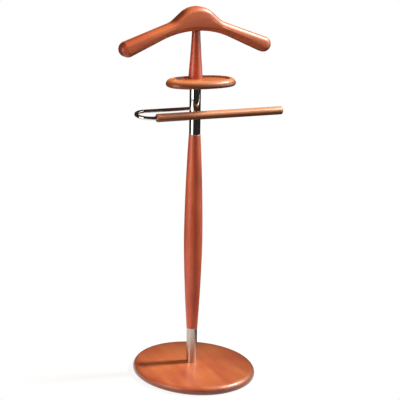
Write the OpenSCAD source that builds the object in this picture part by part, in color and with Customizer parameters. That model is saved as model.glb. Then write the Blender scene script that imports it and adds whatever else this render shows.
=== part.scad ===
// Clothes valet stand: an oval wooden base, a turned post, a dished tray,
// a swivelling trouser rail and a broad wooden hanger on top.
// Millimetres. +Z is up, the front faces -Y, and the origin is where the
// centre line of the post meets the floor.

/* [Base] */
// Width of the base, left to right
base_w = 356; // [330:1:380]
// Depth of the base, front to back
base_d = 420; // [380:1:440]
// How far the middle of the base stands in front of the post
base_forward = 16; // [0:1:30]
// Thickness of the wooden disc
base_t = 25; // [22:1:32]
// Radius of the rounded upper edge
base_edge_r = 16; // [8:1:16]
// Thickness of the anti-slip pad under the base
pad_t = 2; // [1.5:0.5:3]
// Diameter of the steel ballast plate
ballast_d = 230; // [180:5:250]
// Thickness of the steel ballast plate
ballast_t = 10; // [9:1:12]

/* [Post] */
// Outer diameter of the lower metal tube
lower_tube_d = 32; // [30:1:33]
// Length of the lower metal tube between base and column
lower_tube_l = 108; // [80:1:140]
// Length of the turned column
column_l = 592; // [500:1:650]
// Diameter of the column at its foot
column_foot_d = 33; // [32:0.5:36]
// Diameter of the column at its belly
column_belly_d = 55; // [48:1:60]
// Diameter of the column at its head
column_head_d = 34.6; // [34:0.2:38]
// Height of the belly as a share of the column's length
column_belly_at = 0.46; // [0.35:0.01:0.6]
// Distance from the column's head to the tray's underside
sleeve_space = 149.5; // [120:0.5:180]
// Outer diameter of the chrome sleeve that carries the trouser rail
sleeve_d = 33; // [32.5:0.5:34]

/* [Trouser rail] */
// Diameter of the bent rod
rod_d = 10; // [8:1:12]
// Diameter of the wooden trouser bar
bar_d = 24; // [20:1:28]
// Length of the wooden trouser bar
bar_l = 396; // [340:1:420]
// Radius of the rod's half-round bend, to the rod's centre line
bend_r = 36.2; // [32:0.2:42]
// Angle by which the bend leans down towards the front
bend_tilt = 6.2; // [0:0.2:8]
// Distance from the post's centre line to the outside of the rod's bend
bend_reach = 200; // [180:1:220]
// Distance from the post's centre line to the bar's socket end
bar_left = 150; // [135:1:155]
// Height of the rod above the column's head
arm_rise = 78; // [60:1:95]

/* [Tray] */
// Width of the tray
tray_w = 208; // [180:1:240]
// Depth of the tray
tray_d = 134; // [124:1:150]
// Thickness of the tray at its rim
tray_t = 22; // [20:0.5:26]
// Depth of the recess in the tray
tray_recess = 6; // [5:0.5:7]
// How far the middle of the tray stands in front of the post
tray_forward = 40; // [34:0.5:46]

/* [Neck and hanger] */
// Diameter of the neck at its foot
neck_foot_d = 42; // [36:1:46]
// Diameter of the neck under the hanger
neck_top_d = 24; // [22:1:28]
// Length of the neck between tray and hanger
neck_l = 138.5; // [110:0.5:160]
// Width of the hanger over its rounded ends
hanger_w = 468; // [420:1:480]
// Thickness of the hanger at its long edges, front to back
hanger_t = 48; // [44:1:60]
// Bulge of the front and back faces, as a share of half their local height
hanger_bulge = 0.04; // [0.02:0.01:0.08]
// Height of the hanger's crest above the middle of its underside
hanger_crest_h = 69; // [66:1:76]
// Drop from the crest to the middle of the rounded ends
hanger_end_drop = 115; // [110:1:125]
// Radius of the rounded long edges
hanger_edge_r = 16; // [8:1:18]

/* [Hidden] */
$fn = 72;

wood_color = "chocolate";
chrome_color = "silver";
steel_color = "dimgray";
brass_color = "goldenrod";
plastic_color = "whitesmoke";
rubber_color = "darkslategray";

// Fits
sliding_gap = 0.05;
thread_gap = 0.02;
running_gap = 0.05;
thrust_gap = 0.1;

// Heights of the stack, from the floor up
base_top = pad_t + base_t;
column_foot = base_top + lower_tube_l;
column_head = column_foot + column_l;
tray_bottom = column_head + sleeve_space;
tray_top = tray_bottom + tray_t;
tray_floor = tray_top - tray_recess;
hanger_under = tray_floor + neck_l;
crest_z = hanger_under + hanger_crest_h;

// Tubes, plugs and spigots
tube_wall = 2;
tube_bore_r = lower_tube_d / 2 - tube_wall;
plug_r = tube_bore_r - sliding_gap;
plug_seat = 6;
plug_l = 26;
spigot_r = 10;
spigot_up = 14;
spigot_down = 20;

// Lower tie rod with its nut, washer and insert
lower_rod_r = 5;
lower_rod_hole_r = lower_rod_r + 0.3;
nut_across_flats = 17;
nut_h = 5;
nut_bottom = pad_t + 0.5;
washer_r = 11;
washer_h = 1.5;
washer_bottom = nut_bottom + nut_h;
plate_pocket_r = 14;
plate_pocket_top = washer_bottom + washer_h;
insert_l = 30;
foot_insert_r = 8;
foot_insert_z = column_foot + spigot_up;
lower_rod_top = foot_insert_z + insert_l - 2;

// Ballast plate and its countersunk screws
ballast_r = ballast_d / 2;
plate_top = pad_t + ballast_t;
screw_count = 4;
screw_circle_r = ballast_r - 20;
screw_r = 2.5;
screw_head_r = 5;
screw_head_h = 3;
screw_l = 19;

// Upper tie rod with its inserts
upper_rod_r = 4;
upper_rod_hole_r = upper_rod_r + 0.3;
core_seat = 6;
core_tray_seat = 5;
head_insert_z = column_head - core_seat - insert_l;
upper_rod_bottom = head_insert_z + 2;
neck_insert_r = 7;
tenon_r = 10;
tenon_l = 5;
neck_insert_z = tray_floor - tenon_l;
upper_rod_top = neck_insert_z + insert_l - 2;
rod_relief = 5;

// Core tube, sleeve and flanged bushes
core_r = 13;
core_bore_r = 11;
sleeve_r = sleeve_d / 2;
sleeve_bore_r = 15;
flange_r = sleeve_r + 0.6;
flange_t = 1.4;
bush_l = 14;
sleeve_bottom = column_head + thrust_gap + flange_t;
sleeve_top = tray_bottom - thrust_gap - flange_t;

// Bent rod and bar
rod_r = rod_d / 2;
bar_r = bar_d / 2;
arm_z = column_head + arm_rise;
bar_forward = 2 * bend_r * cos(bend_tilt);
bar_drop = 2 * bend_r * sin(bend_tilt);
bend_x = bend_reach - rod_r - bend_r;
bar_z = arm_z - bar_drop;
bar_end_r = 4;
bar_socket = 32;
rod_end_gap = 2;

// Dowel between neck and hanger
dowel_r = 6;
dowel_l = 56;
neck_housing = 2;
neck_top = hanger_under + neck_housing;
dowel_bottom = neck_top - dowel_l / 2;
dowel_clear = 0.03;
neck_seat_gap = 0.15;

// Outline of the hanger: tangent arcs joined by straight lines
crest_r = 71;
flank_slope = 40.9;
shoulder_r = 57;
arm_slope = 19.6;
end_r = 22.3;
under_r = 263;
under_slope = 24.8;
end_x = hanger_w / 2 - end_r;
end_z = crest_z - hanger_end_drop;
crest_c = [0, crest_z - crest_r];
under_c = [0, hanger_under - under_r];

// Unit vector at an angle
function unit(a) = [cos(a), sin(a)];

// Crossing of two lines, each given by a unit normal and its distance from the origin
function crossing(n1, d1, n2, d2) =
    let (k = n1.x * n2.y - n1.y * n2.x)
    [(d1 * n2.y - d2 * n1.y) / k, (n1.x * d2 - n2.x * d1) / k];

// Centre of the hollow fillet where the crest's flank meets the arm's upper line
flank_n = unit(90 - flank_slope);
arm_n = unit(90 - arm_slope);
shoulder_c = crossing(
    flank_n, crest_c * flank_n + crest_r + shoulder_r,
    arm_n, [end_x, end_z] * arm_n + end_r + shoulder_r
);

// Arc whose outward normal turns from a0 to a1, pulled in by inset.
// side is 1 for a bulging arc and -1 for a hollow one.
function arc(c, r, a0, a1, steps, inset, side) = [
    for (i = [0:steps])
        c + side * (r - side * inset) * unit(a0 + (a1 - a0) * i / steps)
];

// Right half of the hanger's outline in the X-Z plane, pulled in by inset. It runs
// from the crest round the end to the middle of the underside, and the two halves
// of the way have the same number of steps, so that upper and lower points pair up.
half_steps = 19;
crest_steps = 7;
shoulder_steps = 4;
end_steps = 12;
under_steps = 12;
function hanger_half(inset) = concat(
    arc(crest_c, crest_r, 90, 90 - flank_slope, crest_steps, inset, 1),
    arc(shoulder_c, shoulder_r, 90 - flank_slope, 90 - arm_slope, shoulder_steps, inset, -1),
    arc([end_x, end_z], end_r, 90 - arm_slope, -90 - under_slope, end_steps, inset, 1),
    arc(under_c, under_r, -90 - under_slope, -90, under_steps, inset, -1)
);

// Closed outline at depth y, the left half mirrored from the right one
function hanger_ring(inset, y) =
    let (half = hanger_half(inset))
    concat(
        [for (p = half) [p.x, y, p.y]],
        [for (i = [len(half) - 2:-1:1]) [-half[i].x, y, half[i].y]]
    );

// Superellipse ring at height z, pulled in by inset
function sgn_pow(v, e) = sign(v) * pow(abs(v), e);
function oval_ring(w, d, power, inset, z, steps) = [
    for (i = [0:steps - 1])
        let (a = 360 * i / steps)
        [(w / 2 - inset) * sgn_pow(cos(a), 2 / power),
         (d / 2 - inset) * sgn_pow(sin(a), 2 / power), z]
];

// Quarter round from angle a0 to a1 about a centre in the inset-height plane
function quarter(c, r, a0, a1, steps) = [for (i = [0:steps]) c + r * unit(a0 + (a1 - a0) * i / steps)];

// Wall faces through a stack of closed rings of count points each
function ring_walls(count, levels) = [
    for (k = [0:levels - 2]) for (i = [0:count - 1])
        let (j = (i + 1) % count)
        [k * count + i, (k + 1) * count + i, (k + 1) * count + j, k * count + j]
];

// Solid through a stack of closed rings, with flat ends
module ring_solid(rings) {
    count = len(rings[0]);
    levels = len(rings);
    points = [for (ring = rings) for (p = ring) p];
    first_cap = [for (i = [0:count - 1]) i];
    last_cap = [for (i = [count - 1:-1:0]) (levels - 1) * count + i];
    polyhedron(points, concat([first_cap], ring_walls(count, levels), [last_cap]), convexity = 6);
}

module pipe(outer_r, inner_r, z, length) {
    translate([0, 0, z])
        difference() {
            cylinder(h = length, r = outer_r);
            translate([0, 0, -1])
                cylinder(h = length + 2, r = inner_r);
        }
}

module bore(r, z, length) {
    translate([0, 0, z])
        cylinder(h = length, r = r);
}

module screw_places() {
    translate([0, -base_forward, 0])
        for (i = [0:screw_count - 1])
            rotate([0, 0, 45 + 360 * i / screw_count])
                translate([screw_circle_r, 0, 0])
                    children();
}

module screw_shape(grow) {
    translate([0, 0, pad_t])
        cylinder(h = screw_head_h, r1 = screw_head_r + grow, r2 = screw_r + grow);
    translate([0, 0, pad_t])
        cylinder(h = screw_l, r = screw_r + grow);
}

// Oval disc with a nearly full-round edge, fuller below than above, bored for the post and recessed for the ballast
module base_disc() {
    low_r = min(8, base_t - base_edge_r - 0.5);
    profile = concat(
        quarter([low_r, pad_t + low_r], low_r, 270, 180, 5),
        quarter([base_edge_r, base_top - base_edge_r], base_edge_r, 180, 90, 8)
    );
    color(wood_color)
        difference() {
            translate([0, -base_forward, 0])
                ring_solid([for (p = profile) oval_ring(base_w, base_d, 2, p.x, p.y, 96)]);
            translate([0, -base_forward, pad_t - 1])
                cylinder(h = ballast_t + 1, r = ballast_r + sliding_gap);
            bore(lower_rod_hole_r, plate_top - 1, base_t);
            bore(plug_r + sliding_gap, base_top - plug_seat, plug_seat + 1);
            screw_places()
                bore(screw_r + sliding_gap, pad_t + 1, screw_l - 1 + sliding_gap);
        }
}

// Thin oval sheet that the stand rests on
module base_pad() {
    pad_inset = 10;
    color(rubber_color)
        translate([0, -base_forward, 0])
            ring_solid([
                oval_ring(base_w, base_d, 2, pad_inset, 0, 72),
                oval_ring(base_w, base_d, 2, pad_inset, pad_t, 72)
            ]);
}

module ballast_plate() {
    color(steel_color)
        difference() {
            translate([0, -base_forward, pad_t])
                cylinder(h = ballast_t, r = ballast_r);
            bore(plate_pocket_r, pad_t - 1, plate_pocket_top - pad_t + 1);
            bore(lower_rod_hole_r, pad_t, ballast_t + 1);
            screw_places()
                screw_shape(sliding_gap);
        }
}

module ballast_screws() {
    color(chrome_color)
        screw_places()
            screw_shape(0);
}

module tie_nut() {
    color(steel_color)
        difference() {
            translate([0, 0, nut_bottom])
                cylinder(h = nut_h, r = nut_across_flats / 2 / cos(30), $fn = 6);
            bore(lower_rod_r + thread_gap, nut_bottom - 1, nut_h + 2);
        }
}

module tie_washer() {
    color(steel_color)
        pipe(washer_r, lower_rod_hole_r, washer_bottom, washer_h);
}

module lower_tie_rod() {
    color(steel_color)
        bore(lower_rod_r, nut_bottom, lower_rod_top - nut_bottom);
}

// Centring plug between the base and the lower tube
module tube_plug() {
    color(steel_color)
        pipe(plug_r, lower_rod_hole_r, base_top - plug_seat, plug_l);
}

module lower_tube() {
    color(chrome_color)
        pipe(lower_tube_d / 2, tube_bore_r, base_top, lower_tube_l);
}

// Stepped plug that centres the column on the lower tube
module column_spigot() {
    color(steel_color)
        difference() {
            union() {
                bore(plug_r, column_foot - spigot_down, spigot_down);
                bore(spigot_r, column_foot - 1, spigot_up + 1);
            }
            bore(lower_rod_hole_r, column_foot - spigot_down - 1, spigot_down + spigot_up + 2);
        }
}

module column_foot_insert() {
    color(brass_color)
        pipe(foot_insert_r, lower_rod_r + thread_gap, foot_insert_z, insert_l);
}

// Turned post: a long taper above the belly and a shorter, fuller one below it
module column() {
    belly_r = column_belly_d / 2;
    foot_r = column_foot_d / 2;
    head_r = column_head_d / 2;
    belly_z = column_foot + column_belly_at * column_l;
    edge = 0.8;
    lower_power = 1.5;
    upper_power = 1.8;
    lower_steps = 12;
    upper_steps = 14;
    lower_curve = [
        for (i = [0:lower_steps])
            let (t = 1 - i / lower_steps)
            [belly_r - (belly_r - foot_r) * pow(t, lower_power), belly_z - t * (belly_z - column_foot - edge)]
    ];
    upper_curve = [
        for (i = [1:upper_steps])
            let (t = i / upper_steps)
            [belly_r - (belly_r - head_r) * pow(t, upper_power), belly_z + t * (column_head - edge - belly_z)]
    ];
    color(wood_color)
        difference() {
            rotate_extrude()
                polygon(concat(
                    [[0, column_foot], [foot_r - edge, column_foot]],
                    lower_curve,
                    upper_curve,
                    [[head_r - edge, column_head], [0, column_head]]
                ));
            bore(spigot_r + sliding_gap, column_foot - 1, spigot_up + 1);
            bore(foot_insert_r + sliding_gap, column_foot, spigot_up + insert_l);
            bore(lower_rod_hole_r, column_foot, spigot_up + insert_l + rod_relief);
            bore(core_r + sliding_gap, column_head - core_seat, core_seat + 1);
            bore(foot_insert_r + sliding_gap, head_insert_z, insert_l + 1);
            bore(upper_rod_hole_r, head_insert_z - rod_relief, insert_l);
        }
}

module column_head_insert() {
    color(brass_color)
        pipe(foot_insert_r, upper_rod_r + thread_gap, head_insert_z, insert_l);
}

// Fixed inner tube, clamped between column and tray, on which the sleeve turns
module core_tube() {
    color(steel_color)
        pipe(core_r, core_bore_r, column_head - core_seat, core_seat + sleeve_space + core_tray_seat);
}

module upper_tie_rod() {
    color(steel_color)
        bore(upper_rod_r, upper_rod_bottom, upper_rod_top - upper_rod_bottom);
}

// Flanged bush, drawn with its flange at the bottom and its body above
module bush() {
    difference() {
        union() {
            cylinder(h = flange_t, r = flange_r);
            cylinder(h = flange_t + bush_l, r = sleeve_bore_r - thread_gap);
        }
        translate([0, 0, -1])
            cylinder(h = flange_t + bush_l + 2, r = core_r + running_gap);
    }
}

module lower_bush() {
    color(plastic_color)
        translate([0, 0, sleeve_bottom - flange_t])
            bush();
}

module upper_bush() {
    color(plastic_color)
        translate([0, 0, sleeve_top + flange_t])
            mirror([0, 0, 1])
                bush();
}

module rail_sleeve() {
    color(chrome_color)
        difference() {
            pipe(sleeve_r, sleeve_bore_r, sleeve_bottom, sleeve_top - sleeve_bottom);
            translate([0, 0, arm_z])
                rotate([0, -90, 0])
                    cylinder(h = sleeve_d, r = rod_r + thread_gap);
        }
}

// Rod that leaves the sleeve, runs out to the side and bends round into the bar
module trouser_arm() {
    start_x = sleeve_bore_r + 0.2;
    socket_run = bend_x - bar_left + bar_socket - rod_end_gap;
    color(chrome_color)
        translate([0, 0, arm_z])
            rotate([bend_tilt, 0, 0])
                union() {
                    translate([-start_x, 0, 0])
                        rotate([0, -90, 0])
                            cylinder(h = bend_x - start_x, r = rod_r);
                    translate([-bend_x, -bend_r, 0])
                        rotate([0, 0, 90])
                            rotate_extrude(angle = 180)
                                translate([bend_r, 0])
                                    circle(r = rod_r);
                    translate([-bend_x, -2 * bend_r, 0])
                        rotate([0, 90, 0])
                            cylinder(h = socket_run, r = rod_r);
                }
}

// Wooden bar with rounded ends, bored at its left end for the rod
module trouser_bar() {
    half = concat(
        [[0, 0]],
        quarter([bar_r - bar_end_r, bar_end_r], bar_end_r, 270, 360, 5),
        quarter([bar_r - bar_end_r, bar_l - bar_end_r], bar_end_r, 0, 90, 5),
        [[0, bar_l]]
    );
    color(wood_color)
        translate([-bar_left, -bar_forward, bar_z])
            rotate([0, 90, 0])
                difference() {
                    rotate_extrude()
                        polygon(half);
                    translate([0, 0, -1])
                        cylinder(h = bar_socket + 1, r = rod_r + thread_gap);
                }
}

// Oval tray with a rounded rim and a shallow recess, bored for the post
module tray() {
    low_r = 4;
    rim_r = 15;
    lip_r = 3;
    profile = concat(
        quarter([low_r, tray_bottom + low_r], low_r, 270, 180, 4),
        quarter([rim_r, tray_top - rim_r], rim_r, 180, 90, 8),
        quarter([rim_r + 1.5, tray_top - lip_r], lip_r, 90, 0, 3),
        quarter([rim_r + 1.5 + 2 * lip_r, tray_floor + lip_r], lip_r, 180, 270, 3)
    );
    color(wood_color)
        difference() {
            translate([0, -tray_forward, 0])
                ring_solid([for (p = profile) oval_ring(tray_w, tray_d, 2.25, p.x, p.y, 72)]);
            bore(core_r + sliding_gap, tray_bottom - 1, core_tray_seat + 1);
            bore(upper_rod_hole_r, tray_bottom, tray_t);
            bore(tenon_r + sliding_gap, tray_floor - tenon_l, tenon_l + 1);
            bore(neck_foot_d / 2 + sliding_gap, tray_floor, tray_recess + 1);
        }
}

module neck_insert() {
    color(brass_color)
        pipe(neck_insert_r, upper_rod_r + thread_gap, neck_insert_z, insert_l);
}

// Turned neck, hollowed a little in its taper, with a tenon into the tray
module neck() {
    foot_r = neck_foot_d / 2;
    top_r = neck_top_d / 2;
    taper_power = 1.25;
    steps = 14;
    curve = [
        for (i = [0:steps])
            let (t = 1 - i / steps)
            [top_r + (foot_r - top_r) * pow(t, taper_power), tray_floor + (1 - t) * (neck_top - tray_floor)]
    ];
    color(wood_color)
        difference() {
            rotate_extrude()
                polygon(concat(
                    [[0, tray_floor - tenon_l], [tenon_r, tray_floor - tenon_l], [tenon_r, tray_floor]],
                    curve,
                    [[0, neck_top]]
                ));
            bore(neck_insert_r + sliding_gap, neck_insert_z - 1, insert_l + 1);
            bore(upper_rod_hole_r, neck_insert_z, insert_l + rod_relief);
            bore(dowel_r + dowel_clear, dowel_bottom - 1, dowel_l);
        }
}

module hanger_dowel() {
    color("burlywood")
        bore(dowel_r, dowel_bottom, dowel_l);
}

// Hanger before boring: rings of the outline carry the rounded long edges, and each
// face is closed over a middle line that bulges with the face's local height
module hanger_blank() {
    half_t = hanger_t / 2;
    edge_steps = 6;
    count = 4 * half_steps;
    last = half_steps - 1;
    front = [
        for (k = [0:edge_steps])
            let (a = 90 * k / edge_steps)
            [hanger_edge_r * (1 - sin(a)), -half_t + hanger_edge_r * (1 - cos(a))]
    ];
    back = [for (k = [edge_steps:-1:0]) [front[k].x, -front[k].y]];
    rings = [for (q = concat(front, back)) hanger_ring(q.x, q.y)];
    ring_points = [for (ring = rings) for (p = ring) p];
    levels = len(rings);
    middle = [
        for (s = [-last:last])
            let (upper = rings[0][(s + count) % count], lower = rings[0][2 * half_steps - s])
            let (bulge = hanger_bulge * norm(upper - lower) / 2)
            [(upper.x + lower.x) / 2, half_t + bulge, (upper.z + lower.z) / 2]
    ];
    // Faces of one end, from the first point of its ring and of its middle line
    function upper(ring, s) = ring + (s + count) % count;
    function lower(ring, s) = ring + 2 * half_steps - s;
    function cover(ring, mid) = concat(
        [for (s = [-last:last - 1]) [upper(ring, s), upper(ring, s + 1), mid + s + 1, mid + s]],
        [for (s = [-last:last - 1]) [mid + s, mid + s + 1, lower(ring, s + 1), lower(ring, s)]],
        [[upper(ring, last), ring + half_steps, mid + last]],
        [[mid + last, ring + half_steps, lower(ring, last)]],
        [[ring + 3 * half_steps, upper(ring, -last), mid - last]],
        [[ring + 3 * half_steps, mid - last, lower(ring, -last)]]
    );
    function turned_over(faces) = [for (f = faces) [for (i = [len(f) - 1:-1:0]) f[i]]];
    front_mid = levels * count + last;
    back_mid = front_mid + 2 * half_steps - 1;
    polyhedron(
        concat(ring_points, [for (p = middle) [p.x, -p.y, p.z]], middle),
        concat(
            ring_walls(count, levels),
            cover(0, front_mid),
            turned_over(cover((levels - 1) * count, back_mid))
        ),
        convexity = 6
    );
}

// Broad hanger: one board with a bell-shaped crest, bored for neck and dowel
module hanger() {
    color(wood_color)
        difference() {
            hanger_blank();
            bore(neck_top_d / 2 + neck_seat_gap, hanger_under - 5, 5 + neck_housing);
            bore(dowel_r + dowel_clear, hanger_under, neck_housing + dowel_l / 2 + 1);
        }
}

base_disc();
base_pad();
ballast_plate();
ballast_screws();
tie_nut();
tie_washer();
lower_tie_rod();
tube_plug();
lower_tube();
column_spigot();
column_foot_insert();
column();
column_head_insert();
core_tube();
upper_tie_rod();
lower_bush();
upper_bush();
rail_sleeve();
trouser_arm();
trouser_bar();
tray();
neck_insert();
neck();
hanger_dowel();
hanger();
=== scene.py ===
import bmesh
import bpy
import numpy as np
from mathutils import Matrix, Vector


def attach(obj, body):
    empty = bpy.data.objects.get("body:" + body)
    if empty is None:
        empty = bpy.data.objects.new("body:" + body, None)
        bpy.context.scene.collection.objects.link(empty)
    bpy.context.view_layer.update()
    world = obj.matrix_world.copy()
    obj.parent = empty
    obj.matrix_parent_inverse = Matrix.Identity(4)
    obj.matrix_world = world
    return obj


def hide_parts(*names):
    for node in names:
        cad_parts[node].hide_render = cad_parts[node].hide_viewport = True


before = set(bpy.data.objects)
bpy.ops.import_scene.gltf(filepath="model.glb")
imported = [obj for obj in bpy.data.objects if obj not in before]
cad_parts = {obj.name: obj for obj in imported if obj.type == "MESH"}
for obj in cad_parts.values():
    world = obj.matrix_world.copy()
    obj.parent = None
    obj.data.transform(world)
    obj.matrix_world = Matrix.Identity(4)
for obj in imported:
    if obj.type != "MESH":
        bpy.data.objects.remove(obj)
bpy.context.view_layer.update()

# ---------------------------------------------------------------- sizes, in metres

FLOOR_PAD = 0.002
BASE_TOP = 0.027
BASE_HALF = (0.178, 0.210)
BASE_Y = -0.016
RECESS_TOP = 0.012
SHEET_INSET = 0.010
COLUMN_FOOT = 0.135
COLUMN_HEAD = 0.727
TRAY_BOTTOM = 0.8765
TRAY_FLOOR = 0.8925
TRAY_TOP = 0.8985
TRAY_HALF = (0.104, 0.067)
TRAY_Y = -0.040
HANGER_UNDER = 1.031
CREST = 1.100
HANGER_HALF = 0.468 / 2
LOWER_TUBE = (0.016, 0.014)
SLEEVE = (0.0165, 0.015)
ROD = 0.005
ARM_Z = 0.805
BEND = 0.0362
BEND_X = 0.1588
BEND_TILT = np.radians(6.2)
BAR_LEFT = -0.150
BAR_Y = -2 * BEND * np.cos(BEND_TILT)
BAR_Z = ARM_Z - 2 * BEND * np.sin(BEND_TILT)

# Radii of the bores, the seats and the neck's tenon, with the room that each fit needs
LOWER_ROD_HOLE = 0.0053
UPPER_ROD_HOLE = 0.0043
PLUG_SEAT = 0.014
SPIGOT_SEAT = 0.01005
COLUMN_INSERT_SEAT = 0.00805
CORE_SEAT = 0.01305
TENON = 0.010
TENON_SEAT = 0.01005
NECK_INSERT_SEAT = 0.00705
DOWEL_SEAT = 0.00603
BALLAST_SEAT = 0.11505
ROD_SOCKET = 0.00502

# How deep they are, and the room between pieces
PLUG_DEPTH = 0.006
SPIGOT_DEPTH = 0.014
CORE_DEPTH = 0.006
CORE_DEPTH_TRAY = 0.005
TENON_DEPTH = 0.005
DOWEL_DEPTH = 0.029
SOCKET_DEPTH = 0.032
INSERT_LENGTH = 0.030
ROD_END_ROOM = 0.005
SOCKET_ROOM = 0.002
THRUST_GAP = 0.0001
FLANGE_GAP = 0.0015

# Points round a turned piece and round an oval one
ROUND_STEPS = 160
OVAL_STEPS = 224


# ---------------------------------------------------------------- shapes

def skin(rings, ends):
    """Closed surface through a stack of rings, an array of levels by points by 3.
    Every ring is joined to the next one by quads. ends is "poles", which closes the
    first and last ring with a point in its middle, "loop", which joins the last ring
    to the first, or "sheet", which leaves both open. Returns points and faces."""
    levels, points = rings.shape[:2]
    index = np.arange(levels * points).reshape(levels, points)
    low, high = (index, np.roll(index, -1, 0)) if ends == "loop" else (index[:-1], index[1:])
    quads = np.stack([low, np.roll(low, -1, 1), np.roll(high, -1, 1), high], 2).reshape(-1, 4)
    verts = rings.reshape(-1, 3)
    faces = quads.tolist()
    if ends == "poles":
        verts = np.vstack([verts, rings[0].mean(0), rings[-1].mean(0)])
        first, last = index[0], index[-1]
        pole = np.full(points, levels * points)
        faces += np.stack([pole, np.roll(first, -1), first], 1).tolist()
        faces += np.stack([pole + 1, last, np.roll(last, -1)], 1).tolist()
    return verts, faces


def arc(centre, radius, start, end, steps):
    """Points on a circle, centre + radius (cos a, sin a), a from start to end in degrees."""
    a = np.radians(np.linspace(start, end, steps + 1))[:, None]
    return np.array(centre) + radius * np.hstack([np.cos(a), np.sin(a)])


def turned(profile, steps=ROUND_STEPS):
    """A profile of (radius, height) points carried round the Z axis:
    x = radius cos a, y = radius sin a, z = height."""
    a = np.linspace(0, 2 * np.pi, steps, endpoint=False)
    r, z = np.array(profile, float).T[:, :, None]
    return np.stack([r * np.cos(a), r * np.sin(a), z + 0 * a], 2)


def oval(half, power, profile, centre_y, steps=OVAL_STEPS):
    """Superellipse rings: x = (half width - inset) |cos a|^(2/power) with the cosine's sign,
    y = centre_y and the same with half depth and sine, z = height, for each (inset, height)
    of the profile."""
    a = np.linspace(0, 2 * np.pi, steps, endpoint=False)
    inset, z = np.array(profile, float).T[:, :, None]
    c = np.sign(np.cos(a)) * np.abs(np.cos(a)) ** (2 / power)
    s = np.sign(np.sin(a)) * np.abs(np.sin(a)) ** (2 / power)
    return np.stack([(half[0] - inset) * c, centre_y + (half[1] - inset) * s, z + 0 * a], 2)


def bored(*steps):
    """Line of a stepped bore: at each radius it runs along Z from start to stop."""
    return [(radius, z) for radius, start, stop in steps for z in (start, stop)]


def lay_along_x(rings, start_x, y, z):
    """Turned rings laid down: their height runs along X from start_x, round (y, z)."""
    return np.stack([start_x + rings[..., 2], y + rings[..., 0], z + rings[..., 1]], 2)


def rod_along(path, radius, steps):
    """A round rod along a flat path in the X-Y plane: each ring stands square to the
    path, at path + radius (side cos a + up sin a)."""
    ahead = np.gradient(path, axis=0)
    ahead /= np.linalg.norm(ahead, axis=1)[:, None]
    up = np.array([0.0, 0.0, 1.0])
    side = np.cross(ahead, up)
    a = np.linspace(0, 2 * np.pi, steps, endpoint=False)[None, :, None]
    return path[:, None] + radius * (side[:, None] * np.cos(a) + up * np.sin(a))


def divided(points, guide, count):
    """The line cut at count places, the ones that lie at even distances along guide, a line
    with the same number of points."""
    far = np.r_[0, np.cumsum(np.linalg.norm(np.diff(guide, axis=0), axis=1))]
    at = np.interp(np.linspace(0, far[-1], count), far, np.arange(len(guide)))
    order = np.arange(len(points))
    return np.stack([np.interp(at, order, points[:, 0]), np.interp(at, order, points[:, 1])], 1)


def hanger_edge(inset):
    """Upper and lower edge of the hanger in X-Z, from the left end to the right one, all
    pulled in by inset. Tangent arcs joined by straight lines: rounded ends, hollow
    shoulders, a bulging crest and a hollow underside. Each hollow shoulder touches the
    lines of the flank and of the arm, and its middle lies where both are a shoulder's
    radius away."""
    crest_r, shoulder_r, end_r, under_r = 0.071, 0.057, 0.0223, 0.263
    flank, slope, under = 40.9, 19.6, 24.8
    end_drop, end_turn = 0.115, -12
    end = np.array([HANGER_HALF - end_r, CREST - end_drop])
    crest = np.array([0, CREST - crest_r])
    n_flank, n_arm = (np.array([np.sin(a), np.cos(a)]) for a in np.radians([flank, slope]))
    shoulder = np.linalg.solve(np.array([n_flank, n_arm]), [
        crest @ n_flank + crest_r + shoulder_r, end @ n_arm + end_r + shoulder_r])
    right = np.vstack([
        arc(crest, crest_r - inset, 90, 90 - flank, 60),
        arc(shoulder, -(shoulder_r + inset), 90 - flank, 90 - slope, 20),
        arc(end, end_r - inset, 90 - slope, end_turn, 40)])
    below = np.vstack([
        arc([0, HANGER_UNDER - under_r], under_r + inset, 90, 90 - under, 60),
        arc(end, end_r - inset, -90 - under, -90, 12),
        arc(end, end_r - inset, -90, end_turn, 24)])
    return [np.vstack([half[::-1] * [-1, 1], half[1:]]) for half in (right, below)]


def hanger_shape(count=260, across=24, edge_steps=14):
    """Front and back faces as grids between the upper and lower edge, joined by quarter
    rounds: edge_r (1 - cos a) behind a face, the outline is pulled in by edge_r (1 - sin a).
    A face bulges by bulge * half its local height * (1 - (2t - 1)^2), t going across."""
    half_t, edge_r, bulge = 0.024, 0.016, 0.04
    t = np.linspace(0, 1, across + 1)[:, None, None]
    verts, faces = [], []

    def add(grid):
        rows, cols = grid.shape[:2]
        index = np.arange(rows * cols).reshape(rows, cols) + sum(len(v) for v in verts)
        quads = [index[:-1, :-1], index[:-1, 1:], index[1:, 1:], index[1:, :-1]]
        faces.extend(np.stack(quads, 2).reshape(-1, 4).tolist())
        verts.append(grid.reshape(-1, 3))

    def at_depth(line, y):
        return np.concatenate([line[..., :1], y + 0 * line[..., :1], line[..., 1:]], -1)

    guides = hanger_edge(0)

    def lines(inset):
        return [divided(line, guide, count) for line, guide in zip(hanger_edge(inset), guides)]

    top, low = lines(edge_r)
    face = top * (1 - t) + low * t
    height = np.linalg.norm(top - low, axis=1)[None, :, None]
    swell = half_t + bulge * height / 2 * (1 - (2 * t - 1) ** 2)
    add(at_depth(face, -swell))
    add(at_depth(face, swell)[:, ::-1])
    a = np.linspace(0, np.pi / 2, edge_steps + 1)
    insets = np.r_[edge_r * (1 - np.sin(a)), edge_r * (1 - np.sin(a[::-1]))]
    depths = np.r_[-half_t + edge_r * (1 - np.cos(a)), half_t - edge_r * (1 - np.cos(a[::-1]))]
    for side, turn in ((0, -1), (1, 1)):
        add(np.stack([at_depth(lines(i)[side], y) for i, y in zip(insets, depths)])[::turn])
    return np.vstack(verts), faces


MERGE_WITHIN = 2e-6
SHARP_FROM = np.radians(35)


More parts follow.
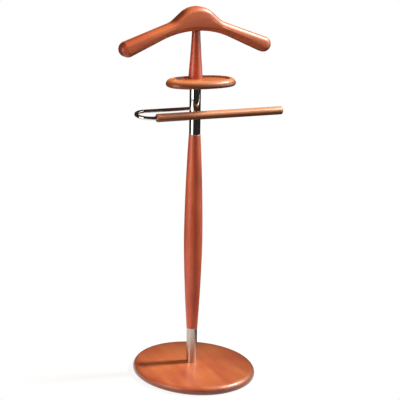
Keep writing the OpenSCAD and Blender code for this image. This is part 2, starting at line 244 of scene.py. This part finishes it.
def put(name, shape, material, body, slot, *nodes):
    """Makes the mesh, merges doubled points, turns its faces outward, shades it smooth
    up to the sharp angle, and sets it in place of the CAD nodes on their body. Every point
    also keeps the way it faces, which the woods use for their end-grain stain and for
    painted shade where they face down."""
    verts, faces = shape
    mesh = bpy.data.meshes.new(name)
    mesh.from_pydata(np.asarray(verts).tolist(), [], faces)
    work = bmesh.new()
    work.from_mesh(mesh)
    bmesh.ops.remove_doubles(work, verts=work.verts, dist=MERGE_WITHIN)
    bmesh.ops.recalc_face_normals(work, faces=work.faces)
    if work.calc_volume(signed=True) < 0:
        bmesh.ops.reverse_faces(work, faces=work.faces)
    work.to_mesh(mesh)
    work.free()
    mesh.shade_smooth()
    mesh.set_sharp_from_angle(angle=SHARP_FROM)
    mesh.materials.append(material)
    facing = np.zeros(len(mesh.vertices) * 3, np.float32)
    mesh.vertex_normals.foreach_get("vector", facing)
    mesh.attributes.new("faces", "FLOAT_VECTOR", "POINT").data.foreach_set("vector", facing)
    piece = bpy.data.objects.new(name, mesh)
    bpy.context.scene.collection.objects.link(piece)
    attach(piece, body)
    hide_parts(*nodes)


# ---------------------------------------------------------------- materials

def nodes_of(tree):
    """Short ways to add a node and to join two sockets in a node tree."""
    def add(kind, inputs=(), **settings):
        node = tree.nodes.new(kind)
        for key, value in settings.items():
            setattr(node, key, value)
        for key, value in dict(inputs).items():
            if isinstance(value, bpy.types.NodeSocket):
                tree.links.new(value, node.inputs[key])
            else:
                node.inputs[key].default_value = value
        return node
    return add, tree.links.new


def rgb(r, g, b):
    """Linear colour of a screen colour given from 0 to 255."""
    c = np.array([r, g, b]) / 255
    return (*np.where(c <= 0.04045, c / 12.92, ((c + 0.055) / 1.055) ** 2.4), 1.0)


def group(name, inputs, outputs):
    """A new node group with named sockets. Returns the tree, the ways to add and to join
    nodes in it, and the sockets inside: what comes in and what goes out."""
    tree = bpy.data.node_groups.new(name, "ShaderNodeTree")
    for way, sockets in (("INPUT", inputs), ("OUTPUT", outputs)):
        for socket, kind in sockets.items():
            tree.interface.new_socket(socket, in_out=way, socket_type="NodeSocket" + kind)
    add, link = nodes_of(tree)
    return tree, add, link, add("NodeGroupInput").outputs, add("NodeGroupOutput").inputs


def grain_group():
    """Cherry grain along Z: soft clouds, broad growth bands, fine fibres and short dark
    pores. Colour, roughness and height change over the surface."""
    tree, add, link, given, made = group(
        "cherry_grain", {"Vector": "Vector", "Light": "Color", "Dark": "Color", "Pore": "Color"},
        {"Color": "Color", "Roughness": "Float", "Height": "Float"})
    bands_at = add("ShaderNodeMapping", {"Vector": given["Vector"], "Scale": (1, 1, 0.16)})
    bands = add("ShaderNodeTexWave", {
        "Vector": bands_at.outputs[0], "Scale": 7.0, "Distortion": 7.0, "Detail": 3.0,
        "Detail Scale": 1.2, "Detail Roughness": 0.6}, wave_type="BANDS")
    cloud_at = add("ShaderNodeMapping", {"Vector": given["Vector"], "Scale": (1, 1, 0.45)})
    cloud = add("ShaderNodeTexNoise", {"Vector": cloud_at.outputs[0], "Scale": 14.0, "Detail": 3.0})
    fibre_at = add("ShaderNodeMapping", {"Vector": given["Vector"], "Scale": (1, 1, 0.03)})
    fibres = add("ShaderNodeTexNoise", {
        "Vector": fibre_at.outputs[0], "Scale": 480.0, "Detail": 4.0, "Roughness": 0.6})
    pore_at = add("ShaderNodeMapping", {"Vector": given["Vector"], "Scale": (1, 1, 0.05)})
    pores = add("ShaderNodeTexNoise", {
        "Vector": pore_at.outputs[0], "Scale": 1300.0, "Detail": 1.0})
    pore_mask = add("ShaderNodeMapRange", {
        "Value": pores.outputs["Fac"], "From Min": 0.60, "From Max": 0.72})
    banded = add("ShaderNodeMath", {0: bands.outputs["Fac"], 1: 0.10, 2: cloud.outputs["Fac"]},
                 operation="MULTIPLY_ADD")
    fibred = add("ShaderNodeMath", {0: fibres.outputs["Fac"], 1: 0.45, 2: banded.outputs[0]},
                 operation="MULTIPLY_ADD")
    tone = add("ShaderNodeMapRange", {
        "Value": fibred.outputs[0], "From Min": 0.50, "From Max": 1.05})
    body = add("ShaderNodeMix", {"Factor": tone.outputs[0], 6: given["Dark"], 7: given["Light"]},
               data_type="RGBA")
    dim = add("ShaderNodeMath", {0: pore_mask.outputs[0], 1: 0.22}, operation="MULTIPLY")
    shade = add("ShaderNodeMix", {"Factor": dim.outputs[0], 6: body.outputs[2], 7: given["Pore"]},
                data_type="RGBA")
    rough = add("ShaderNodeMapRange", {
        "Value": fibres.outputs["Fac"], "To Min": 0.46, "To Max": 0.58})
    low = add("ShaderNodeMath", {0: pore_mask.outputs[0], 1: -0.6, 2: fibres.outputs["Fac"]},
              operation="MULTIPLY_ADD")
    link(shade.outputs[2], made["Color"])
    link(rough.outputs[0], made["Roughness"])
    link(low.outputs[0], made["Height"])
    return tree


def stain_or_shade_group():
    """Colour that gets darker, by real stain or by painted shade, as a value goes from Start to
    End, up to the share Most.
    """
    tree, add, link, given, made = group(
        "deeper_stain_or_painted_shade", {"Color": "Color", "Stain": "Color", "Value": "Float", "Start": "Float",
                         "End": "Float", "Most": "Float"}, {"Color": "Color"})
    share = add("ShaderNodeMapRange", {
        "Value": given["Value"], "From Min": given["Start"], "From Max": given["End"],
        "To Min": 0.0, "To Max": given["Most"]}, interpolation_type="SMOOTHSTEP")
    mixed = add("ShaderNodeMix", {"Factor": share.outputs[0], 6: given["Color"],
                7: given["Stain"]}, data_type="RGBA")
    link(mixed.outputs[2], made["Color"])
    return tree


def marks_group():
    """Fine marks of a metal or plastic: its gloss and tone change a little."""
    tree, add, link, given, made = group(
        "fine_marks", {"Vector": "Vector", "Scale": "Float", "Bright": "Color", "Dull": "Color",
                       "Smooth": "Float", "Rough": "Float"},
        {"Color": "Color", "Roughness": "Float", "Height": "Float"})
    smudge = add("ShaderNodeTexNoise", {
        "Vector": given["Vector"], "Scale": given["Scale"], "Detail": 4.0})
    gloss = add("ShaderNodeMapRange", {
        "Value": smudge.outputs["Fac"], "From Min": 0.3, "From Max": 0.7,
        "To Min": given["Smooth"], "To Max": given["Rough"]})
    tint = add("ShaderNodeMix", {"Factor": smudge.outputs["Fac"], 6: given["Dull"],
               7: given["Bright"]}, data_type="RGBA")
    link(tint.outputs[2], made["Color"])
    link(gloss.outputs[0], made["Roughness"])
    link(smudge.outputs["Fac"], made["Height"])
    return tree


def new_material(name):
    """An empty node material, and the ways to add and to join its nodes."""
    material = bpy.data.materials.new(name)
    material.use_nodes = True
    material.node_tree.nodes.clear()
    return material, *nodes_of(material.node_tree)


def darker(colour, share):
    """The colour with its red, green and blue at the given share."""
    return (*[share * c for c in colour[:3]], 1)


# Darkness of pores and of deep stain or painted shade, as a share of the wood's dark tone,
# and how far a face looks along X where end grain starts to drink the stain and where it
# is full
PORE_SHARE = 0.25
STAIN_OR_SHADE_SHARE = 0.34
END_GRAIN = (0.22, 0.70)


def wood(name, light, dark, turn, shift=(0, 0, 0), lacquer=1.0, gloss=0.40, ends=0.0,
         painted_shade_facing_down=None, rims=()):
    """Stained wood under satin lacquer; turn points the grain along the piece, and shift
    takes it from another place of the plank. The stain is deeper, by the share ends, where
    the wood faces along X and shows its end grain. The argument after ends paints shade where
    a surface faces down: how far it faces down where the painted shade starts and stops
    getting deeper, and up to what share. Each of rims makes the colour darker outwards in an
    oval: half width, half depth, middle x and y, start, stop and share."""
    material, add, link = new_material(name)
    where = add("ShaderNodeTexCoord").outputs["Object"]
    lie = add("ShaderNodeMapping", {"Vector": where, "Location": shift, "Rotation": turn})
    grain = add("ShaderNodeGroup", {"Vector": lie.outputs[0], "Light": light, "Dark": dark,
                "Pore": darker(dark, PORE_SHARE)}, node_tree=GRAIN)
    colour = grain.outputs["Color"]

    def stained_or_shaded(value, start, end, most):
        return add("ShaderNodeGroup", {
            "Color": colour, "Stain": darker(dark, STAIN_OR_SHADE_SHARE), "Value": value,
            "Start": start, "End": end, "Most": most}, node_tree=STAIN_OR_SHADE).outputs["Color"]

    if ends or painted_shade_facing_down:
        facing = add("ShaderNodeAttribute", attribute_name="faces")
        way = add("ShaderNodeSeparateXYZ", {0: facing.outputs["Vector"]})
    if ends:
        along = add("ShaderNodeMath", {0: way.outputs["X"]}, operation="ABSOLUTE")
        colour = stained_or_shaded(along.outputs[0], *END_GRAIN, ends)
    # Painted shade: the colour darkens as the surface turns from facing up to facing down.
    if painted_shade_facing_down:
        down = add("ShaderNodeMath", {0: way.outputs["Z"], 1: -1.0}, operation="MULTIPLY")
        colour = stained_or_shaded(down.outputs[0], *painted_shade_facing_down)
    for half_x, half_y, x, y, start, end, most in rims:
        flat = add("ShaderNodeMapping", {"Vector": where, "Scale": (1 / half_x, 1 / half_y, 0),
                   "Location": (-x / half_x, -y / half_y, 0)})
        out = add("ShaderNodeVectorMath", {0: flat.outputs[0]}, operation="LENGTH")
        colour = stained_or_shaded(out.outputs["Value"], start, end, most)
    bump = add("ShaderNodeBump", {
        "Height": grain.outputs["Height"], "Strength": 0.06, "Distance": 0.0003})
    shader = add("ShaderNodeBsdfPrincipled", {
        "Base Color": colour, "Roughness": grain.outputs["Roughness"], "Normal": bump.outputs[0],
        "Coat Weight": lacquer, "Coat Roughness": gloss, "Coat IOR": 1.5})
    link(shader.outputs[0], add("ShaderNodeOutputMaterial").inputs["Surface"])
    return material


def metal(name, colour, smooth, rough, brushed=0.0, scale=60.0, metallic=1.0, relief=0.04):
    """Metal, or plastic where metallic is 0, with fine marks, drawn out around the Z axis
    where it is brushed."""
    material, add, link = new_material(name)
    where = add("ShaderNodeTexCoord").outputs["Object"]
    stretch = add("ShaderNodeMapping", {"Vector": where, "Scale": (1, 1, 1 + 30 * brushed)})
    marks = add("ShaderNodeGroup", {
        "Vector": stretch.outputs[0], "Scale": scale, "Bright": (*colour, 1),
        "Dull": darker(colour, 0.93), "Smooth": smooth, "Rough": rough}, node_tree=MARKS)
    bump = add("ShaderNodeBump", {
        "Height": marks.outputs["Height"], "Strength": relief, "Distance": 0.0002})
    shader = add("ShaderNodeBsdfPrincipled", {
        "Base Color": marks.outputs["Color"], "Metallic": metallic,
        "Roughness": marks.outputs["Roughness"], "Normal": bump.outputs[0]})
    link(shader.outputs[0], add("ShaderNodeOutputMaterial").inputs["Surface"])
    return material


GRAIN = grain_group()
STAIN_OR_SHADE = stain_or_shade_group()
MARKS = marks_group()

# Turns that lay the grain: up a post, along a cross piece, and askew over the base
QUARTER = np.pi / 2
GRAIN_UP = (0, 0, 0)
GRAIN_ACROSS = (0, QUARTER, 0)
GRAIN_ASKEW = (QUARTER, 0, 0.35)

# Over the base the colour is palest in front of the post at the left, darker outwards, and darker
# again at its edge
PALE_PATCH = (*BASE_HALF, -0.064, -0.086, 0.13, 1.80, 0.76)
DARK_EDGE = (*BASE_HALF, -0.006, BASE_Y - 0.010, 0.90, 1.02, 0.72)

# The hanger, the base, the tray and the bar are given painted shade on faces that turn downward.
UPRIGHT = wood("cherry_upright", rgb(226, 112, 68), rgb(190, 74, 45), GRAIN_UP)
NECK = wood("cherry_neck", rgb(200, 88, 50), rgb(162, 58, 34), GRAIN_UP, (0.07, 0.02, 0.4),
            gloss=0.30)
ACROSS = wood("cherry_across", rgb(252, 142, 78), rgb(218, 96, 55), GRAIN_ACROSS,
              (0.11, 0.03, 0.05), ends=0.95, painted_shade_facing_down=(-0.60, 0.30, 0.32))
SLAB = wood("cherry_slab", rgb(250, 152, 88), rgb(206, 96, 62), GRAIN_ASKEW,
            (0.05, 0.02, 0.31), gloss=0.33, rims=(PALE_PATCH, DARK_EDGE),
            painted_shade_facing_down=(-0.75, 0.05, 0.85))
DISH = wood("cherry_dish", rgb(255, 178, 112), rgb(236, 132, 80), GRAIN_ACROSS,
            (0.21, 0.13, 0.0), lacquer=0.6, gloss=0.24, painted_shade_facing_down=(-0.97, -0.35, 1.0))
ROUND_BAR = wood("cherry_bar", rgb(246, 176, 122), rgb(216, 128, 76), GRAIN_ACROSS,
                 (0.3, 0.0, 0.0), gloss=0.28, ends=0.8, painted_shade_facing_down=(-0.60, 0.30, 0.7))
BEECH = wood("bare_beech", rgb(222, 190, 140), rgb(186, 146, 98), GRAIN_UP, lacquer=0.0)
CHROME = metal("polished_chrome", (0.80, 0.79, 0.77), 0.05, 0.09, scale=25.0, relief=0.01)
SATIN = metal("satin_chrome", (0.60, 0.54, 0.47), 0.26, 0.34, brushed=0.6, relief=0.05)
STEEL = metal("plain_steel", (0.46, 0.46, 0.47), 0.30, 0.42, brushed=0.6, relief=0.12)
ZINC = metal("zinc_plate", (0.63, 0.63, 0.65), 0.25, 0.38)
BRASS = metal("turned_brass", (0.78, 0.60, 0.28), 0.18, 0.30, brushed=0.4, relief=0.10)
NYLON = metal("pale_nylon", (0.66, 0.52, 0.42), 0.35, 0.48, metallic=0.0)
RUBBER = metal("anti_slip_sheet", (0.045, 0.045, 0.048), 0.80, 0.95, scale=900.0, metallic=0.0,
               relief=0.2)


# ---------------------------------------------------------------- the pieces

def column_profile():
    """Outer line of the column: below the belly the radius falls by 11 mm with t^1.5,
    above it by 10.2 mm with t^1.8, t being the share of the way from the belly to the end;
    seats for spigot, core tube and inserts at the ends."""
    foot_r, belly_r, head_r, edge = 0.0165, 0.0275, 0.0173, 0.0008
    belly_z = COLUMN_FOOT + 0.46 * (COLUMN_HEAD - COLUMN_FOOT)
    t = np.linspace(1, 0, 60)
    lower = np.stack([belly_r - (belly_r - foot_r) * t ** 1.5,
                      belly_z - t * (belly_z - COLUMN_FOOT - edge)], 1)
    t = np.linspace(0, 1, 70)[1:]
    upper = np.stack([belly_r - (belly_r - head_r) * t ** 1.8,
                      belly_z + t * (COLUMN_HEAD - edge - belly_z)], 1)
    low = COLUMN_FOOT + SPIGOT_DEPTH
    foot_bore = bored((LOWER_ROD_HOLE, low + INSERT_LENGTH + ROD_END_ROOM, low + INSERT_LENGTH),
                      (COLUMN_INSERT_SEAT, low + INSERT_LENGTH, low),
                      (SPIGOT_SEAT, low, COLUMN_FOOT))
    high = COLUMN_HEAD - CORE_DEPTH
    head_bore = bored((CORE_SEAT, COLUMN_HEAD, high),
                      (COLUMN_INSERT_SEAT, high, high - INSERT_LENGTH),
                      (UPPER_ROD_HOLE, high - INSERT_LENGTH, high - INSERT_LENGTH - ROD_END_ROOM))
    return np.vstack([foot_bore, [(foot_r - edge, COLUMN_FOOT)], lower, upper,
                      [(head_r - edge, COLUMN_HEAD)], head_bore])


def neck_profile():
    """Outer line of the neck: radius = 12 mm + 9 mm * t^1.25, t falling from 1 on the tray
    to 0 under the hanger; a tenon below, seats for the insert and the dowel inside."""
    top_r, flare, housing = 0.012, 0.009, 0.002
    top = HANGER_UNDER + housing
    t = np.linspace(1, 0, 60)
    line = np.stack([top_r + flare * t ** 1.25, TRAY_FLOOR + (1 - t) * (top - TRAY_FLOOR)], 1)
    low = TRAY_FLOOR - TENON_DEPTH
    foot = bored((UPPER_ROD_HOLE, low + INSERT_LENGTH + ROD_END_ROOM, low + INSERT_LENGTH),
                 (NECK_INSERT_SEAT, low + INSERT_LENGTH, low), (TENON, low, TRAY_FLOOR))
    return np.vstack([foot, line, bored((DOWEL_SEAT, top, top - DOWEL_DEPTH))])


def base_rings():
    """Oval rings from the lower edge over the rounded rim to the post, then round bores
    and the ballast recess, and back to the lower edge. The rim is two quarter circles of
    radius low and edge, in inset and height."""
    low, edge = 0.008, 0.016
    outer = np.vstack([arc((low, FLOOR_PAD + low), low, 270, 180, 20),
                       arc((edge, BASE_TOP - edge), edge, 180, 90, 20)])
    rim = oval(BASE_HALF, 2, outer, BASE_Y)
    bore = turned(bored((PLUG_SEAT, BASE_TOP, BASE_TOP - PLUG_DEPTH),
                        (LOWER_ROD_HOLE, BASE_TOP - PLUG_DEPTH, RECESS_TOP)), OVAL_STEPS)
    recess = turned(bored((BALLAST_SEAT, RECESS_TOP, FLOOR_PAD)), OVAL_STEPS) + [0, BASE_Y, 0]
    return np.vstack([rim, bore, recess])


def tray_rings():
    """Superellipse rings from the underside over the rounded rim into the recess, then
    the round seats in the middle, and back to the underside. Quarter circles in inset and
    height: radius low below, rim above, and lip twice where the flat of the rim dips into
    the recess."""
    power, low, rim, lip, flat = 2.25, 0.0075, 0.0145, 0.003, 0.0015
    outer = np.vstack([
        arc((low, TRAY_BOTTOM + low), low, 270, 180, 14),
        arc((rim, TRAY_TOP - rim), rim, 180, 90, 24),
        arc((rim + flat, TRAY_TOP - lip), lip, 90, 0, 8),
        arc((rim + flat + 2 * lip, TRAY_FLOOR + lip), lip, 180, 270, 8)])
    high, deep = TRAY_FLOOR - TENON_DEPTH, TRAY_BOTTOM + CORE_DEPTH_TRAY
    seats = turned(bored((TENON_SEAT, TRAY_FLOOR, high), (UPPER_ROD_HOLE, high, deep),
                         (CORE_SEAT, deep, TRAY_BOTTOM)), OVAL_STEPS)
    return np.vstack([oval(TRAY_HALF, power, outer, TRAY_Y), seats])


def arm_rings():
    """The rod's centre line: out to the left, half round to the front, back into the
    bar; then leaned down towards the front about the X axis and lifted into place."""
    in_sleeve, in_bar = -0.0152, BAR_LEFT + SOCKET_DEPTH - SOCKET_ROOM
    bend = arc((-BEND_X, -BEND), BEND, 90, 270, 64)
    line = np.vstack([[in_sleeve, 0], [-0.06, 0], [-0.11, 0], bend, [in_bar, -2 * BEND]])
    rings = rod_along(np.insert(line, 2, 0, axis=1), ROD, 40)
    c, s = np.cos(BEND_TILT), np.sin(BEND_TILT)
    return rings @ np.array([[1, 0, 0], [0, c, -s], [0, s, c]]).T + [0, 0, ARM_Z]


def bar_rings():
    """Round bar, its ends quarter rounds of radius edge, bored at its left end for the
    rod: a (radius, length) line turned round the bar's own axis and laid along X."""
    r, edge, length = 0.012, 0.004, 0.396
    profile = np.vstack([bored((ROD_SOCKET, SOCKET_DEPTH, 0)),
                         arc((r - edge, edge), edge, 270, 360, 10),
                         [(r, 0.1), (r, 0.2), (r, 0.3)],
                         arc((r - edge, length - edge), edge, 0, 90, 10)])
    return lay_along_x(turned(profile, 96), BAR_LEFT, BAR_Y, BAR_Z)


def pipe(outer, inner, low, high, edge=0.0003):
    """A tube as a closed (radius, height) line turned round Z, its outer edges broken."""
    return turned([(inner, low), (outer - edge, low), (outer, low + edge), (outer, high - edge),
                   (outer - edge, high), (inner, high)])


def bush(face, way):
    """Flanged bush turned round Z: the flange starts at height face, its outer edges are
    broken, and the body goes on in direction way, up for 1 and down for -1."""
    bore, body, flange, thick, length, edge = 0.01305, 0.01498, 0.0171, 0.0014, 0.014, 0.0003
    steps = [(bore, 0), (flange - edge, 0), (flange, edge), (flange, thick - edge),
             (flange - edge, thick), (body, thick), (body, thick + length),
             (bore, thick + length)]
    return turned([(r, face + way * h) for r, h in steps])


WOOD = "lacquered_wood"
put("base_disc_wood", skin(base_rings(), "loop"), SLAB, "stand", WOOD, "base_disc")
put("floor_sheet", skin(oval(BASE_HALF, 2, bored((SHEET_INSET, 0, FLOOR_PAD)), BASE_Y),
    "poles"), RUBBER, "stand", "rubber", "base_pad")
put("lower_tube_chrome", skin(pipe(*LOWER_TUBE, BASE_TOP, COLUMN_FOOT), "loop"), SATIN,
    "stand", "chrome", "lower_tube")
put("column_wood", skin(turned(column_profile()), "poles"), UPRIGHT, "stand", WOOD, "column")
put("lower_bush_ring", skin(bush(COLUMN_HEAD + THRUST_GAP, 1), "loop"), NYLON, "rail",
    "white_plastic", "lower_bush")
put("upper_bush_ring", skin(bush(TRAY_BOTTOM - THRUST_GAP, -1), "loop"), NYLON, "rail",
    "white_plastic", "upper_bush")
put("rail_sleeve_chrome", skin(pipe(*SLEEVE, COLUMN_HEAD + FLANGE_GAP,
    TRAY_BOTTOM - FLANGE_GAP), "loop"), CHROME, "rail", "chrome", "rail_sleeve")
put("trouser_rod", skin(arm_rings(), "poles"), CHROME, "rail", "chrome", "trouser_arm")
put("trouser_bar_wood", skin(bar_rings(), "poles"), ROUND_BAR, "rail", WOOD, "trouser_bar")
put("tray_wood", skin(tray_rings(), "loop"), DISH, "stand", WOOD, "tray")
put("neck_wood", skin(turned(neck_profile()), "poles"), NECK, "stand", WOOD, "neck")
put("hanger_wood", hanger_shape(), ACROSS, "stand", WOOD, "hanger")

INNER = {"ballast_plate": STEEL, "ballast_screws": ZINC, "tie_nut": STEEL, "tie_washer": STEEL,
         "lower_tie_rod": STEEL, "tube_plug": STEEL, "column_spigot": STEEL,
         "column_foot_insert": BRASS, "column_head_insert": BRASS, "core_tube": STEEL,
         "upper_tie_rod": STEEL, "neck_insert": BRASS, "hanger_dowel": BEECH}
for name, material in INNER.items():
    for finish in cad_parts[name].material_slots:
        finish.material = material


# ---------------------------------------------------------------- floor, light, camera

def stage_piece(name, verts, faces, material, **seen_by):
    """A mesh that isn't part of the object, such as the floor."""
    mesh = bpy.data.meshes.new(name)
    mesh.from_pydata(np.asarray(verts).tolist(), [], faces)
    mesh.materials.append(material)
    piece = bpy.data.objects.new(name, mesh)
    bpy.context.scene.collection.objects.link(piece)
    for key, value in seen_by.items():
        setattr(piece, key, value)


def seen_directly(add):
    """1 for rays from the camera and for those that a gloss or a glass sends on, else 0."""
    ray = add("ShaderNodeLightPath")
    both = add("ShaderNodeMath", {
        0: ray.outputs["Is Camera Ray"], 1: ray.outputs["Is Glossy Ray"]}, operation="MAXIMUM")
    return add("ShaderNodeMath", {0: both.outputs[0], 1: ray.outputs["Is Transmission Ray"]},
               operation="MAXIMUM").outputs[0]


def floor_material():
    """White floor: near the object it is lit and keeps the shadow, further out it is the
    backdrop's plain white. It throws little light back on the object, as a dark board would."""
    material, add, link = new_material("pale_floor")
    where = add("ShaderNodeTexCoord")
    far = add("ShaderNodeVectorMath", {0: where.outputs["Object"]}, operation="LENGTH")
    edge = add("ShaderNodeMapRange", {"Value": far.outputs["Value"], "From Min": 0.30,
               "From Max": 0.60, "To Min": 0.0, "To Max": 1.0}, interpolation_type="SMOOTHSTEP")
    lit = add("ShaderNodeBsdfDiffuse", {"Color": (0.16, 0.16, 0.16, 1)})
    lift = add("ShaderNodeEmission", {"Color": (1, 1, 1, 1), "Strength": 0.88})
    near = add("ShaderNodeAddShader", {0: lit.outputs[0], 1: lift.outputs[0]})
    plain = add("ShaderNodeEmission", {"Color": (1, 1, 1, 1), "Strength": 1.0})
    shown = add("ShaderNodeMixShader", {
        0: edge.outputs[0], 1: near.outputs[0], 2: plain.outputs[0]})
    real = add("ShaderNodeBsdfDiffuse", {"Color": (0.10, 0.09, 0.08, 1)})
    both = add("ShaderNodeMixShader", {
        0: seen_directly(add), 1: real.outputs[0], 2: shown.outputs[0]})
    link(both.outputs[0], add("ShaderNodeOutputMaterial").inputs["Surface"])
    return material


def dark_cloth():
    """Near-black cloth of the tent."""
    material, add, link = new_material("tent_cloth")
    glow = add("ShaderNodeEmission", {"Color": (1, 0.95, 0.9, 1), "Strength": 0.025})
    link(glow.outputs[0], add("ShaderNodeOutputMaterial").inputs["Surface"])
    return material


REACH = 6.0
CORNERS = [(-REACH, -REACH, 0), (REACH, -REACH, 0), (REACH, REACH, 0), (-REACH, REACH, 0)]
stage_piece("floor", CORNERS, [(0, 1, 2, 3)], floor_material())
# A dark tent round the stand, seen only by its gloss: it gives chrome and lacquer the dark
# surroundings of the photo's studio and leaves the floor near the base open.
TENT_MIDDLE = (-0.62, -0.1, 0)
TENT_WALL = [(0.85, 0.003), (3.8, 0.003), (3.8, 3.4), (0.01, 3.4)]
stage_piece("dark_tent", *skin(turned(TENT_WALL, 64) + TENT_MIDDLE, "sheet"),
            dark_cloth(), visible_camera=False, visible_diffuse=False, visible_shadow=False,
            visible_transmission=False, visible_volume_scatter=False)

world = bpy.data.worlds.new("white_room")
bpy.context.scene.world = world
world.use_nodes = True
world.node_tree.nodes.clear()
add, link = nodes_of(world.node_tree)
level = add("ShaderNodeMapRange", {"Value": seen_directly(add), "To Min": 0.03, "To Max": 1.0})
back = add("ShaderNodeBackground", {"Color": (1, 1, 1, 1), "Strength": level.outputs[0]})
link(back.outputs[0], add("ShaderNodeOutputWorld").inputs["Surface"])


def lamp(name, place, aim, size, power, colour, **seen_by):
    """A rectangular soft lamp at place, facing aim."""
    light = bpy.data.lights.new(name, "AREA")
    light.shape = "RECTANGLE"
    light.size, light.size_y = size
    light.energy = power
    light.color = colour
    holder = bpy.data.objects.new(name, light)
    bpy.context.scene.collection.objects.link(holder)
    holder.location = place
    holder.rotation_euler = (Vector(aim) - Vector(place)).to_track_quat("-Z", "Y").to_euler()
    for key, value in seen_by.items():
        setattr(holder, key, value)


def outward(azimuth, elevation):
    """Unit vector: azimuth counted from the front (-Y) towards +X, both in degrees."""
    a, e = np.radians([azimuth, elevation])
    return np.array([np.sin(a) * np.cos(e), -np.cos(a) * np.cos(e), np.sin(e)])


POST = (0, 0, 0.5)


def from_side(azimuth, elevation, distance):
    """Place at the given distance from the post's middle, in that direction."""
    return distance * outward(azimuth, elevation) + POST


lamp("key_right", from_side(80, 44, 6.0), POST, (0.9, 0.9), 450, (1, 0.93, 0.84))
lamp("box_right", from_side(52, 44, 3.0), POST, (0.9, 0.7), 40, (1, 0.88, 0.74),
     visible_diffuse=False)
lamp("card_right", (1.9, -0.95, 1.15), (0, 0, 1.15), (2.2, 1.1), 20, (1, 0.88, 0.76),
     visible_diffuse=False)
lamp("fill_front", from_side(-25, 48, 4.0), POST, (1.6, 1.6), 45, (1, 0.76, 0.68),
     visible_glossy=False)
lamp("card_left", (-1.97, -0.35, 0.90), (0, 0, 0.90), (1.3, 1.2), 18, (1, 0.84, 0.74),
     visible_diffuse=False)
lamp("side_left", from_side(-88, 3, 3.0), POST, (1.2, 1.2), 52, (1, 0.76, 0.64),
     visible_glossy=False)

# The photo's camera: from the left and a little above, rolled by under a degree
AZIMUTH, ELEVATION, ROLL = -23.82, 13.69, np.radians(0.897)
TARGET, DISTANCE = np.array([0.0203, 0, 0.5288]), 4.136
FOCAL_PIXELS, FRAME_PIXELS, SENSOR = 1398.3, 400, 36
away = outward(AZIMUTH, ELEVATION)
right = np.array([np.cos(np.radians(AZIMUTH)), np.sin(np.radians(AZIMUTH)), 0])
up = np.cross(away, right)
turn_x = np.cos(ROLL) * right + np.sin(ROLL) * up
turn_y = np.cos(ROLL) * up - np.sin(ROLL) * right
camera = bpy.data.cameras.new("camera")
camera.sensor_width = SENSOR
camera.lens = FOCAL_PIXELS / FRAME_PIXELS * SENSOR
camera.clip_end = 50
eye = bpy.data.objects.new("camera", camera)
bpy.context.scene.collection.objects.link(eye)
pose = np.eye(4)
pose[:3] = np.stack([turn_x, turn_y, away, TARGET + DISTANCE * away], 1)
eye.matrix_world = Matrix(pose.tolist())
bpy.context.scene.camera = eye

bpy.context.scene.view_settings.view_transform = "Standard"
